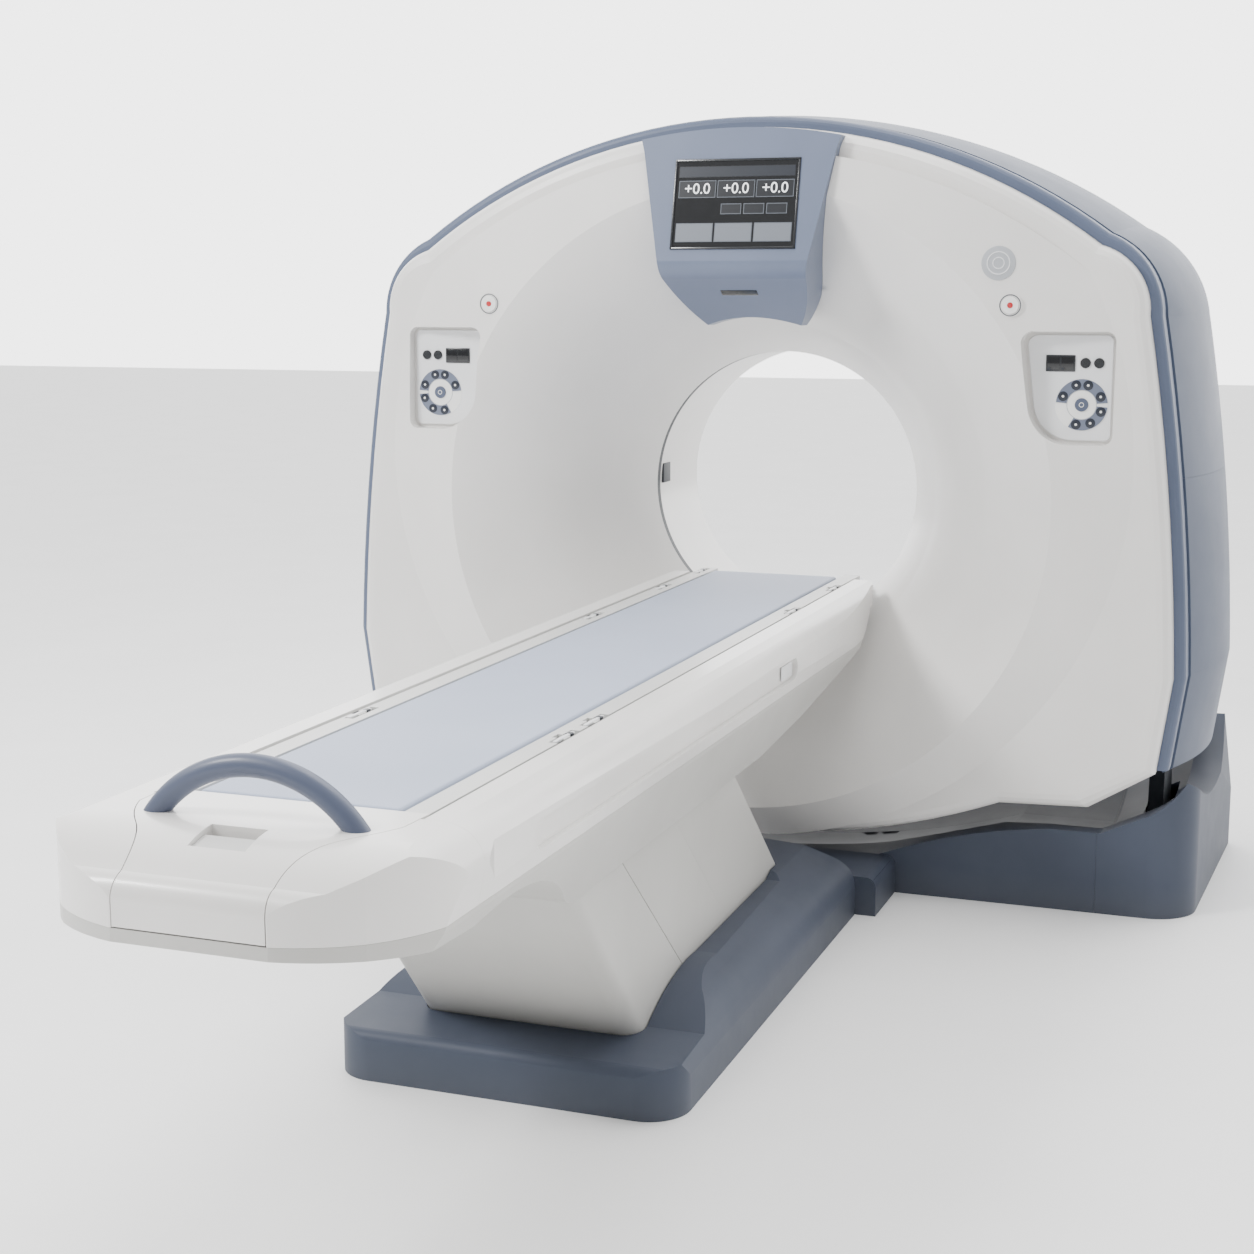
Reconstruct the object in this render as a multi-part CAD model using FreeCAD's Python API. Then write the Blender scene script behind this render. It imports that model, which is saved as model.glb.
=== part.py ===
import FreeCAD, Part
import math
import os
from FreeCAD import Vector as V

# Whole-body medical imaging scanner: a tilting ring gantry on a floor base, and a patient couch
# on a lifting column. Millimetres, +Z up. The origin is on the floor below the isocentre,
# +Y runs along the bore from the couch into the gantry, and +X is to the couch's right.

# ---- driving dimensions: gantry ----
ISO_Z = 1061.0              # height of the bore axis and of the tilt axis
BORE_R = 390.0              # clear radius of the tunnel
WINDOW_W = 24.0             # width of the X-ray window ring
THROAT_Y = -15.0            # front end of the narrowest part
COLLAR_R = 477.0            # joint circle between bore ring and front cover
COLLAR_Y = -180.0
RIM_R = 839.0               # crown circle of the flare
RIM_Y = -492.0
FLANK_R = 1034.0            # outer circle of the sloping flank around the flare
FLANK_RISE = 112.0          # its centre lies this far above the bore axis
PANEL_Y = -455.0            # flat front of the front cover
TRIM_Y = -405.0             # front of the trim band
BODY_Y = -330.0             # front edge of the side and top covers
REAR_Y = 371.0              # rear face
HALF_W = 1182.0             # half width of the trim outline
TOP_Z = 2078.0              # apex of the trim outline
TOP_ARC_R = 1590.0          # radius of the long top arc
SHOULDER_X = 945.0          # where the top arc ends
BELLY_Z = 142.0             # lowest point of the front cover
BELLY_HALF = 720.0          # half length of its bottom arc
BELLY_END_Z = 282.0
CORNER_Z = 392.0            # lower outer corner of the outline
SIDE_BULGE = 75.0           # side covers stand this far outside the trim
TOP_BULGE = 27.0
TRIM_W = 30.0               # width of the trim band seen from the front
SKIN = 8.0                  # wall of the gantry covers
RIM_ROUND = 36.0            # rounding round the front cover
SEAM_Z = 1150.0             # joint between the side covers and the top cover
TILT_R = 772.0              # the side covers end on this radius about the tilt axis
TILT_GAP = 18.0             # gap between tilting covers and the base
SEAM = 0.5                  # joint between neighbouring covers

# ---- driving dimensions: gantry base ----
BASE_Y = -410.0             # front of the base
BASE_REAR_Y = 420.0
BASE_SEAM_X = 975.0         # joint between front cover and end covers
BASE_HALF = 1262.0
BASE_TAPER = 36.0           # the base is this much narrower at its front corners
BASE_TOP = 440.0            # highest point of the end covers
BASE_CREST = 1228.0         # half width there
BELLY_SPACE_HALF = 1166.0
TILT_Z_EDGE = ISO_Z - 915.0     # lowest point of the belly's space at its ends
TILT_Z_DEEP = ISO_Z - 1030.0    # in the middle
TILT_Z_END = ISO_Z - 826.0      # and under the outline's lower corners
BELLY_EDGE = 982.0          # the belly's space starts to rise here
STAND_X = 1095.0            # middle plane of a tilt stand
STAND_T = 40.0
PIN_R = 45.0
PIN_GAP = 0.06              # radial running clearance

# ---- driving dimensions: rotating part ----
DRUM_R = 790.0
DRUM_BORE_R = 440.0
DRUM_Y = 110.0
DRUM_T = 30.0
RACE_R = 560.0              # running surface of the main bearing
RACE_W = 60.0
SOURCE_R = 610.0            # focal spot radius

# ---- driving dimensions: couch ----
COUCH_HALF = 346.0          # half width over the side covers
COUCH_FOOT = -3190.0
COUCH_NOSE = -130.0
COUCH_TOP = 818.0
FOOT_SEAM_Y = -2899.0       # joint between foot cover and side covers
HEAD_SEAM_Y = -900.0
COUCH_SEAM_Z = 690.0        # joint between upper covers and underbody
KEEL_Z = 522.0              # underside of the underbody
COUCH_SKIN = 6.0
GROOVE_DEPTH = 16.0         # long recess along each side cover
CHANNEL = 245.0             # half width of the open channel for the tabletop
FLOOR_Z = 670.0             # underside of the couch frame's floor
FLOOR_T = 14.0
TOP_HALF = 236.0            # half width of the tabletop slab
TOP_T = 30.0
TOP_BASE = 766.0            # underside of the slab
TOP_FOOT = -2866.0
TOP_HEAD = 60.0
PAD_HALF = 184.0
PAD_T = 24.0
PAD_HEAD = -100.0
RAIL_IN = 192.0
RAIL_H = 20.0
RUN_GAP = 0.3               # clearance between sliding faces
PANEL_SEAM = 2.0            # joint round the moving foot panel

# ---- driving dimensions: column and couch base ----
COL_HALF = 245.0
COL_SKIN = 6.0
COL_TOP = 540.0
COL_FOOT = (-1890.0, 0.889)     # foot face: place at z = 60, lean per mm of height
COL_HEAD = (-757.0, 1.142)      # head face
COL_SEAMS = (-1516.0, -1186.0)  # panel joints at z = 60
COL_SEAM_LEAN = 1.13
MAST_HALF = 150.0
MAST_Y = (-1930.0, -1400.0)
MAST_BASE = 330.0
DECK_T = 10.0
TUB_HALF = 385.0
TUB_FOOT = -2090.0
TUB_HEAD = -640.0
TUB_SKIN = 8.0
LINK_HALF = 440.0
LINK_TOP = 104.0
PLATE_T = 20.0
ANCHOR_R = 9.0

# ---- driving dimensions: controls ----
POCKET = (865.0, 1380.0)    # middle of a control pocket
POCKET_DEPTH = 30.0         # behind the flat front
PANEL_T = 8.0
START_X = 718.0
START_Z = 1587.0
START_R = 22.0
BEZEL_W = 8.0
KEY_R = 13.0
KEY_PLACES = (-72.0, -38.0)     # round keys, along X from the pocket's middle
KEY_Z = 63.0
DIAL_R = 17.0
DIAL_PLACE = (-32.0, -42.0)     # centre key of the ring keypad
PRESS_GAP = 0.3
HANDLE_Y = -2990.0
HANDLE_HALF = 176.0
HANDLE_RISE = 86.0
HANDLE_TUBE = 19.0
LATCH_Y = (-3104.0, -3034.0)    # recess for the release paddle
LATCH_HALF = 50.0
LATCH_DEPTH = 26.0
HINGE_R = 4.0

PLANES = {
    "xz": (lambda a, b: V(a, 0, b), V(0, 1, 0)),
    "yz": (lambda a, b: V(0, a, b), V(1, 0, 0)),
    "xy": (lambda a, b: V(a, b, 0), V(0, 0, 1)),
}


def path(plane, start, steps):
    """Closed wire: each step is (end,) for a line or (middle, end) for an arc."""
    place = PLANES[plane][0]
    edges = []
    here = place(*start)
    for step in steps:
        there = place(*step[-1])
        if len(step) == 1:
            edges.append(Part.makeLine(here, there))
        else:
            edges.append(Part.Arc(here, place(*step[0]), there).toShape())
        here = there
    if here.distanceToPoint(place(*start)) > 1e-6:
        edges.append(Part.makeLine(here, place(*start)))
    return Part.Wire(edges)


def prism(plane, start, steps, low, high):
    """Closed outline in a plane, made solid between two values of the third axis."""
    normal = PLANES[plane][1]
    face = Part.Face(path(plane, start, steps))
    face.translate(normal * low)
    return face.extrude(normal * (high - low))


def box(x0, x1, y0, y1, z0, z1):
    return Part.makeBox(x1 - x0, y1 - y0, z1 - z0, V(x0, y0, z0))


def rod_y(radius, y0, y1, x=0.0, z=0.0):
    return Part.makeCylinder(radius, y1 - y0, V(x, y0, z), V(0, 1, 0))


def rod_x(radius, x0, x1, y=0.0, z=0.0):
    return Part.makeCylinder(radius, x1 - x0, V(x0, y, z), V(1, 0, 0))


def ring_y(outer, inner, y0, y1):
    """Ring about the bore axis."""
    return rod_y(outer, y0, y1, z=ISO_Z).cut(rod_y(inner, y0 - 1, y1 + 1, z=ISO_Z))


def turned(points, steps):
    """Solid of revolution about the bore axis; the outline is given as (radius, y)."""
    place = lambda r, y: V(r, y, ISO_Z)
    edges = []
    here = place(*points)
    first = here
    for step in steps:
        there = place(*step[-1])
        if len(step) == 1:
            edges.append(Part.makeLine(here, there))
        else:
            edges.append(Part.Arc(here, place(*step[0]), there).toShape())
        here = there
    edges.append(Part.makeLine(here, first))
    face = Part.Face(Part.Wire(edges))
    return face.revolve(V(0, 0, ISO_Z), V(0, 1, 0), 360)


def mirrored(shape):
    return shape.mirror(V(0, 0, 0), V(1, 0, 0))


def joined(shapes):
    whole = shapes[0]
    for other in shapes[1:]:
        whole = whole.fuse(other)
    return whole.removeSplitter()


def edges_where(shape, test):
    return [e for e in shape.Edges if test(e.BoundBox)]


# ---------------- gantry outline ----------------

def gantry_wire(side, top, y, low=0.0):
    """Front outline grown by side, top and low; round belly, leaning sides, long top arc."""
    arc_z = TOP_Z - TOP_ARC_R
    shoulder = SHOULDER_X + 0.5 * side
    shoulder_z = arc_z + math.sqrt(TOP_ARC_R ** 2 - SHOULDER_X ** 2) + top
    half = HALF_W + side
    lean = 0.082 * (TOP_Z - CORNER_Z) * 0.70
    cheek = half - lean
    cheek_z = CORNER_Z + 0.693 * (TOP_Z - CORNER_Z)
    mid = (half - 0.33 * lean, 0.5 * (cheek_z + CORNER_Z + 250))
    turn = (0.5 * (cheek + shoulder) + 28, 0.5 * (cheek_z + shoulder_z) + 26)
    belly, corner = BELLY_END_Z - low, CORNER_Z - 0.6 * low
    start = (-BELLY_HALF, belly)
    steps = [
        ((0, BELLY_Z - low), (BELLY_HALF, belly)),
        ((half - 200, belly + 8),),
        ((half - 34, corner),),
        ((half, CORNER_Z + 250),),
        (mid, (cheek, cheek_z)),
        (turn, (shoulder, shoulder_z)),
        ((0, TOP_Z + top), (-shoulder, shoulder_z)),
        ((-turn[0], turn[1]), (-cheek, cheek_z)),
        ((-mid[0], mid[1]), (-half, CORNER_Z + 250)),
        ((-half + 34, corner),),
        ((-half + 200, belly + 8),),
    ]
    wire = path("xz", start, steps)
    wire.translate(V(0, y, 0))
    return wire


def gantry_block(side, top, y0, y1):
    return Part.Face(gantry_wire(side, top, y0)).extrude(V(0, y1 - y0, 0))


def soft_block(side, top, y0, y1, radius, low=0.0):
    """Outline block from the face at y0 to y1, with the edge round that face made round."""
    way = 1.0 if y1 > y0 else -1.0
    wires = []
    for k in range(5):
        turn = math.radians(22.5 * k)
        cut = radius * (1 - math.sin(turn))
        y = y0 + way * radius * (1 - math.cos(turn))
        wires.append(gantry_wire(side - cut, top - cut, y, low - cut))
    wires.append(gantry_wire(side, top, y1, low))
    return Part.makeLoft(wires, True, True)


# The flare's inner surface, from the bore ring's joint out to the crown, is one arc.
FLARE_MID_R = 0.5 * (COLLAR_R + RIM_R) - 30.0
FLARE_MID_Y = 0.5 * (COLLAR_Y + RIM_Y) - 28.0


def flare_air(back):
    """Air inside the flare, grown behind the surface by back."""
    r0 = COLLAR_R + back
    return turned(
        (0, -700),
        [
            ((RIM_R + back, -700),),
            ((RIM_R + back, RIM_Y),),
            ((FLARE_MID_R + 0.7 * back, FLARE_MID_Y + 0.7 * back), (r0, COLLAR_Y + 0.5 * back)),
            ((r0 - 40, 0),),
            ((0, 0),),
        ],
    )


def flank_cone(back):
    """Sloping flank: a skew cone between the crown circle and the larger, higher flank circle."""
    crown = Part.Wire(Part.makeCircle(RIM_R - back, V(0, RIM_Y + back, ISO_Z), V(0, 1, 0)))
    foot_z = ISO_Z + FLANK_RISE
    foot = Part.Wire(Part.makeCircle(FLANK_R - back, V(0, PANEL_Y + back, foot_z), V(0, 1, 0)))
    return Part.makeLoft([crown, foot], True, True)


def pocket_steps(grow):
    """Outline of the left control pocket about its middle: wide top, rounded lower inner corner."""
    g = grow
    start = (-84, 142 + g)
    steps = [
        ((82, 142 + g),),
        ((109 + g, 134 + g), (117 + g, 106),),
        ((98 + g, -48),),
        ((58 + 0.7 * g, -118 - 0.7 * g), (-16, -142 - g),),
        ((-84, -142 - g),),
        ((-107 - 0.7 * g, -135 - 0.7 * g), (-115 - g, -112),),
        ((-115 - g, 112),),
        ((-107 - 0.7 * g, 135 + 0.7 * g), (-84, 142 + g)),
    ]
    return start, steps


def flank_y(x, z):
    """Y of the sloping flank's surface at a place seen from the front."""
    dz = z - ISO_Z
    grow = FLANK_R - RIM_R
    a = FLANK_RISE ** 2 - grow ** 2
    b = dz * FLANK_RISE + RIM_R * grow
    c = x * x + dz * dz - RIM_R ** 2
    t = (b - math.sqrt(b * b - a * c)) / a
    return RIM_Y + max(0.0, min(1.0, t)) * (PANEL_Y - RIM_Y)


def pocket_block(grow, y0, y1):
    """Space of the left control pocket between two depths."""
    start, steps = pocket_steps(grow)
    block = prism("xz", start, steps, y0, y1)
    block.translate(V(-POCKET[0], 0, POCKET[1]))
    return block


def start_face():
    """Front of a start button's bezel, just proud of the flank."""
    return flank_y(START_X, START_Z) - 4.0


def start_button(side):
    face = start_face()
    button = rod_y(START_R, face - 3, face + 24, x=side * START_X, z=START_Z)
    return button.makeFillet(2.0, edges_where(button, lambda b: b.YMax < face - 2.9))


def panel_holes(radius, depth):
    """Round keys and centre key of the left panel, as holes or as keys."""
    face = PANEL_Y + POCKET_DEPTH - PANEL_T
    places = [(POCKET[0] * -1 + dx, POCKET[1] + KEY_Z, KEY_R) for dx in KEY_PLACES]
    places.append((POCKET[0] * -1 + DIAL_PLACE[0], POCKET[1] + DIAL_PLACE[1], DIAL_R))
    return [rod_y(r + radius, face + depth[0], face + depth[1], x=x, z=z) for x, z, r in places]


def control_panel():
    """Plate on the floor of the left pocket, with holes for its keys."""
    face = PANEL_Y + POCKET_DEPTH
    plate = pocket_block(-9, face - PANEL_T, face)
    plate = plate.makeFillet(2.5, edges_where(plate, lambda b: b.YMax < face - PANEL_T + 0.1))
    for hole in panel_holes(PRESS_GAP, (-5, PANEL_T + 1)):
        plate = plate.cut(hole)
    return plate


def panel_keys():
    """Outer and inner round keys, then the centre key."""
    keys = panel_holes(0, (-4, 5))
    return [k.makeFillet(1.5, edges_where(k, lambda b: b.YLength < 1 and b.YMax < -430)) for k in keys]


def front_cover():
    side = -TRIM_W
    back = TRIM_Y + 20
    block = soft_block(side, side, PANEL_Y, back, RIM_ROUND)
    clip = gantry_block(side - 60, side - 60, RIM_Y - 5, TRIM_Y)
    outer = block.fuse(flank_cone(0).common(clip)).cut(flare_air(0))
    thin = side - SKIN
    inner_block = soft_block(thin, thin, PANEL_Y + SKIN, back + 10, RIM_ROUND - SKIN, -SKIN)
    inner_clip = gantry_block(thin - 60, thin - 60, RIM_Y - 5, TRIM_Y)
    inner = inner_block.fuse(flank_cone(SKIN).common(inner_clip)).cut(flare_air(SKIN))
    shell = outer.cut(inner)
    # the flare's wall reaches back to the bore ring's joint
    throat = flare_air(SKIN).cut(flare_air(0))
    throat = throat.common(box(-RIM_R - 5, RIM_R + 5, RIM_Y + 6, COLLAR_Y, ISO_Z - 900, ISO_Z + 900))
    shell = shell.fuse(throat)
    cup = pocket_block(SKIN, RIM_Y, PANEL_Y + POCKET_DEPTH + SKIN).common(outer)
    hollow = pocket_block(0, RIM_Y - 10, PANEL_Y + POCKET_DEPTH)
    shell = shell.fuse(cup).fuse(mirrored(cup)).cut(hollow).cut(mirrored(hollow))
    face = start_face()
    for x in (-START_X, START_X):
        sleeve = rod_y(START_R + BEZEL_W, face, face + 40, x=x, z=START_Z)
        hole = rod_y(START_R + PRESS_GAP, face - 20, face + 32, x=x, z=START_Z)
        shell = shell.fuse(sleeve).cut(hole)
    return shell.cut(display_pod(SEAM)).cut(pod_outline(SEAM, RIM_Y - 60, RIM_Y + 18))


def bore_ring():
    """Ring between the front cover's flare and the X-ray window."""
    t = SKIN
    mid_r = 0.5 * (COLLAR_R + BORE_R) - 6
    mid_y = 0.5 * (COLLAR_Y + THROAT_Y)
    return turned(
        (COLLAR_R, COLLAR_Y + SEAM),
        [
            ((mid_r, mid_y), (BORE_R, THROAT_Y)),
            ((BORE_R + t, THROAT_Y),),
            ((mid_r + t, mid_y), (COLLAR_R + t, COLLAR_Y + SEAM)),
        ],
    )


def window_ring():
    y0 = THROAT_Y + SEAM
    return ring_y(BORE_R + 6, BORE_R, y0, y0 + WINDOW_W)


def tunnel_liner():
    """Plain tunnel from the window to the rear face, with a turned-out lip."""
    y0 = THROAT_Y + WINDOW_W + 2 * SEAM
    lip = 22.0
    return turned(
        (BORE_R, y0),
        [
            ((BORE_R, REAR_Y - lip),),
            ((BORE_R + 6, REAR_Y - 6), (BORE_R + lip, REAR_Y),),
            ((BORE_R + lip, REAR_Y - 8),),
            ((BORE_R + 8, REAR_Y - lip - 4),),
            ((BORE_R + 8, y0),),
        ],
    )


def rear_cover():
    block = soft_block(45, 18, REAR_Y, REAR_Y - 40, 28.0)
    inner = soft_block(45 - SKIN, 18 - SKIN, REAR_Y - SKIN, REAR_Y - 42, 28.0 - SKIN, -SKIN)
    hole = rod_y(BORE_R + 22 + SEAM, REAR_Y - 60, REAR_Y + 10, z=ISO_Z)
    return block.cut(inner).cut(hole)


def front_trim():
    """Band around the sides and top of the front cover, open at the bottom."""
    outer = soft_block(0, 0, TRIM_Y, BODY_Y - SEAM, 16.0)
    inner = gantry_block(-TRIM_W + SEAM, -TRIM_W + SEAM, TRIM_Y - 5, BODY_Y + 5)
    band = outer.cut(inner)
    return band.cut(box(-1400, 1400, TRIM_Y - 5, BODY_Y + 5, 0, CORNER_Z + 6))


def body_shell():
    """Bulging tube behind the trim: narrow at the front, widest a little behind the middle."""
    places = ((BODY_Y, 6, 2), (-120, 0.82 * SIDE_BULGE, 0.8 * TOP_BULGE), (60, SIDE_BULGE, TOP_BULGE),
              (REAR_Y - 40 - SEAM, 45, 18))
    outer = Part.makeLoft([gantry_wire(s, t, y) for y, s, t in places], True, False)
    inner = Part.makeLoft([gantry_wire(s - SKIN, t - SKIN, y, -SKIN) for y, s, t in places], True, False)
    return outer.cut(inner)


def body_covers():
    """Side covers below the seam, cut to the tilt radius, and the arch above it."""
    shell = body_shell()
    top = shell.common(box(-1400, 1400, -500, 500, SEAM_Z + SEAM, 2300))
    lower = shell.common(box(0, 1400, -500, 500, 0, SEAM_Z))
    lower = lower.common(rod_x(TILT_R, 1050, 1400, z=ISO_Z))
    # open below the corner where the fixed tilt stand passes
    lower = lower.cut(box(0, STAND_X + STAND_T / 2 + 12, -500, 500, 0, CORNER_Z + 60))
    return top, mirrored(lower), lower


def pod_outline(grow, y0, y1):
    g = grow
    steps = [
        ((262 + g, 1985),),
        ((203 + g, 1690),),
        ((170 + g, 1585), (132 + g, 1530 - g)),
        ((0, 1552 - g), (-132 - g, 1530 - g)),
        ((-170 - g, 1585), (-203 - g, 1690)),
        ((-262 - g, 1985),),
        ((-272 - g, 2018),),
        ((0, TOP_Z - TRIM_W - 4 + g), (272 + g, 2018)),
    ]
    return prism("xz", (272 + g, 2018), steps, y0, y1)


def display_pod(grow):
    """Hanging pod over the flare's top: upright screen face, and a lower face sloping inwards."""
    profile = prism(
        "yz",
        (TRIM_Y, 2060),
        [
            ((-474, 2052),),
            ((-552, 1700),),
            ((-544, 1668), (-524, 1650)),
            ((-318, 1520),),
            ((-270, 1520),),
            ((-330, 1640),),
            ((TRIM_Y, 1800),),
        ],
        -320,
        320,
    )
    return pod_outline(grow, -580, -200).common(profile)


def screen_frame(grow, depth):
    """Flat block lying in the pod's leaning face."""
    lean = math.degrees(math.atan2(540 - 462, 2052 - 1700))
    block = box(-168 - grow, 168 + grow, -1.0, depth, -116 - grow, 116 + grow)
    block = block.makeFillet(10.0, [e for e in block.Edges if e.BoundBox.YLength > depth])
    block.rotate(V(0, 0, 0), V(1, 0, 0), -lean)
    block.translate(V(0, -519.0, 1846.0))
    return block


# ---------------- gantry structure ----------------

def stator_frame():
    """Ring plate that carries the main bearing, with arms out to the tilt pins."""
    y1 = DRUM_Y + DRUM_T + RACE_W + 50
    plate = ring_y(900, RACE_R + 60, y1 - 40, y1)
    # standoffs that carry the rear cover
    arms = [rod_y(18, y1, REAR_Y - SKIN, x=x, z=ISO_Z + z) for x in (-600, 600) for z in (-560, 560)]
    for side in (-1, 1):
        x0, x1 = sorted((side * 830, side * (STAND_X - STAND_T / 2 - 12)))
        arm = box(x0, x1, -70, y1, ISO_Z - 90, ISO_Z + 90)
        arm = arm.cut(rod_y(DRUM_R + 45, -80, y1 - 40, z=ISO_Z))
        arms.append(arm)
    frame = joined([plate] + arms)
    bore = rod_x(PIN_R, -1300, 1300, z=ISO_Z)
    return frame.cut(bore.cut(box(-900, 900, -100, 100, 900, 1200)))


def main_bearing():
    """Outer race, fixed to the ring plate."""
    y0 = DRUM_Y + DRUM_T + 8
    return ring_y(RACE_R + 62, RACE_R + PIN_GAP, y0, y0 + RACE_W + 2)


def tilt_pin(side):
    x0, x1 = sorted((side * (STAND_X - STAND_T / 2 - 80), side * (STAND_X + STAND_T / 2 + 4)))
    return rod_x(PIN_R, x0, x1, z=ISO_Z)


def tilt_stand(side):
    """Upright that carries one tilt pin, standing on the base frame."""
    stand = prism(
        "yz",
        (-150, PLATE_T),
        [
            ((150, PLATE_T),),
            ((95, 420),),
            ((88, ISO_Z),),
            ((0, ISO_Z + 88), (-88, ISO_Z)),
            ((-95, 420),),
        ],
        STAND_X - STAND_T / 2,
        STAND_X + STAND_T / 2,
    )
    stand = stand.cut(rod_x(PIN_R + PIN_GAP, STAND_X - STAND_T, STAND_X + STAND_T, z=ISO_Z))
    return stand if side > 0 else mirrored(stand)


# ---------------- rotating part ----------------

def rotor_drum():
    """Turning disc with a hub that runs in the main bearing."""
    disc = ring_y(DRUM_R, DRUM_BORE_R, DRUM_Y, DRUM_Y + DRUM_T)
    hub = ring_y(RACE_R, DRUM_BORE_R, DRUM_Y + DRUM_T, DRUM_Y + DRUM_T + RACE_W + 10)
    return joined([disc, hub])


def xray_tube():
    """Tube housing across the top of the drum, with its heat exchanger end."""
    z = ISO_Z + SOURCE_R + 40
    body = rod_x(95, -210, 210, y=0, z=z)
    foot = box(-150, 150, 40, DRUM_Y, z - 70, z + 70)
    return joined([body, foot])


def collimator():
    """Beam shaping box under the tube, with its slit."""
    z1 = ISO_Z + SOURCE_R + 40 - 95
    block = box(-120, 120, -70, DRUM_Y, z1 - 90, z1)
    tube = rod_x(95.5, -220, 220, y=0, z=ISO_Z + SOURCE_R + 40)
    slit = box(-90, 90, -12, 12, z1 - 100, z1 + 10)
    return block.cut(tube).cut(slit)


def detector():
    """Curved detector array opposite the tube, centred on the focal spot."""
    focus = ISO_Z + SOURCE_R + 40
    outer = Part.makeCylinder(1270, 170, V(0, -60, focus), V(0, 1, 0))
    inner = Part.makeCylinder(1180, 172, V(0, -61, focus), V(0, 1, 0))
    wedge = prism("xz", (0, focus), [((-760, focus - 1300),), ((760, focus - 1300),)], -70, 120)
    arc = outer.cut(inner).common(wedge)
    return arc.common(rod_y(DRUM_R + 20, -70, DRUM_Y, z=ISO_Z))


def generator_box():
    """High-voltage generator on one side of the drum."""
    block = box(560, 740, -110, DRUM_Y, ISO_Z - 230, ISO_Z + 250)
    return block.common(rod_y(DRUM_R + 20, -120, DRUM_Y, z=ISO_Z))


def counterweight():
    """Steel weight opposite the generator."""
    ring = ring_y(DRUM_R, 640, 10, DRUM_Y)
    return ring.common(box(-900, 0, 0, 120, ISO_Z - 180, ISO_Z + 200))


def slip_ring():
    """Flat slip ring for power and data, on the drum's back face outside the bearing."""
    return ring_y(DRUM_R - 10, DRUM_R - 90, DRUM_Y + DRUM_T, DRUM_Y + DRUM_T + 16)


# ---------------- gantry base ----------------

def base_frame():
    """Floor plate with ribs; low in the middle, where the tilting belly passes."""
    plate = base_plan(TUB_SKIN + 0.3).common(box(-1300, 1300, -500, 500, 0, PLATE_T))
    ribs = []
    for side in (-1, 1):
        for y in (-300.0, 290.0):
            x0, x1 = sorted((side * 760.0, side * 1080.0))
            ribs.append(box(x0, x1, y, y + 12, PLATE_T, 110))
    frame = joined([plate] + ribs)
    for x in (-1050, 1050):
        for y in (-330 + 10, 330 - 10):
            frame = frame.cut(Part.makeCylinder(ANCHOR_R, 40, V(x, y, -5)))
    return frame


def base_plan(inset):
    """Plan of the base: flat front, round outer corners, slightly wider at the back."""
    w, f, r = BASE_HALF - inset, BASE_Y + inset, 120.0
    b = BASE_REAR_Y - inset
    k = r * (1 - math.sqrt(0.5))
    c = w - BASE_TAPER
    steps = [
        ((c - r, f),),
        ((c - k, f + k), (c, f + r)),
        ((w, b),),
        ((-w, b),),
        ((-c, f + r),),
        ((-c + k, f + k), (-c + r, f)),
    ]
    return prism("xy", (-c + r, f), steps, -10, 600)


def base_front(drop):
    """Silhouette of the base seen from the front, low in the middle and rising to the ends."""
    steps = [
        ((BASE_HALF - drop, 0),),
        ((BASE_HALF - drop, 170),),
        ((BASE_CREST - drop, BASE_TOP - drop),),
        ((1179, 338 - drop), (1106, 275 - drop)),
        ((985, 219 - drop),),
        ((850, 218 - drop),),
        ((620, 178 - drop), (400, 106 - drop)),
        ((280, 76 - drop), (150, 70 - drop)),
        ((-150, 70 - drop),),
        ((-280, 76 - drop), (-400, 106 - drop)),
        ((-620, 178 - drop), (-850, 218 - drop)),
        ((-985, 219 - drop),),
        ((-1106, 275 - drop),),
        ((-1179, 338 - drop), (-BASE_CREST + drop, BASE_TOP - drop)),
        ((-BASE_HALF + drop, 170),),
        ((-BASE_HALF + drop, 0),),
    ]
    return prism("xz", (0, 0), steps, BASE_Y - 5, BASE_REAR_Y + 5)


def belly_space(inset):
    """Space in which the front cover's belly tilts: a round about the tilt axis, deepest in the middle."""
    half = BELLY_SPACE_HALF + inset
    end = TILT_Z_END - inset
    edge = TILT_Z_EDGE - inset
    deep = TILT_Z_DEEP - inset
    steps = [
        ((-half, end),),
        ((-BELLY_EDGE, edge),),
        ((-BELLY_HALF, edge),),
        ((0, deep), (BELLY_HALF, edge)),
        ((BELLY_EDGE, edge),),
        ((half, end),),
        ((half, ISO_Z),),
    ]
    face = Part.Face(path("xz", (-half, ISO_Z), steps))
    return face.revolve(V(0, 0, ISO_Z), V(1, 0, 0), 360)


def base_hull(inset):
    """Base body less the spaces in which the covers tilt."""
    hull = base_plan(inset).common(base_front(inset)).common(box(-1300, 1300, -500, 500, 0, 600))
    cheeks = rod_x(TILT_R + TILT_GAP + inset, -BASE_HALF - 5, BASE_HALF + 5, z=ISO_Z)
    return hull.cut(belly_space(inset)).cut(cheeks)


def base_covers():
    outer = base_hull(0)
    inner = base_hull(TUB_SKIN)
    inner.translate(V(0, 0, -0.5))
    shell = outer.cut(inner)
    stands = box(STAND_X - 40, STAND_X + 40, -170, 170, -5, 700)
    shell = shell.cut(stands).cut(mirrored(stands))
    front = shell.common(box(-BASE_SEAM_X, BASE_SEAM_X, BASE_Y - 5, -SEAM / 2, 0, 600))
    rear = shell.common(box(-BASE_SEAM_X, BASE_SEAM_X, SEAM / 2, BASE_REAR_Y + 5, 0, 600))
    right = shell.common(box(BASE_SEAM_X + SEAM, BASE_HALF + 5, BASE_Y - 5, BASE_REAR_Y + 5, 0, 600))
    return front, rear, mirrored(right), right


# ---------------- couch base and column ----------------

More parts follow.
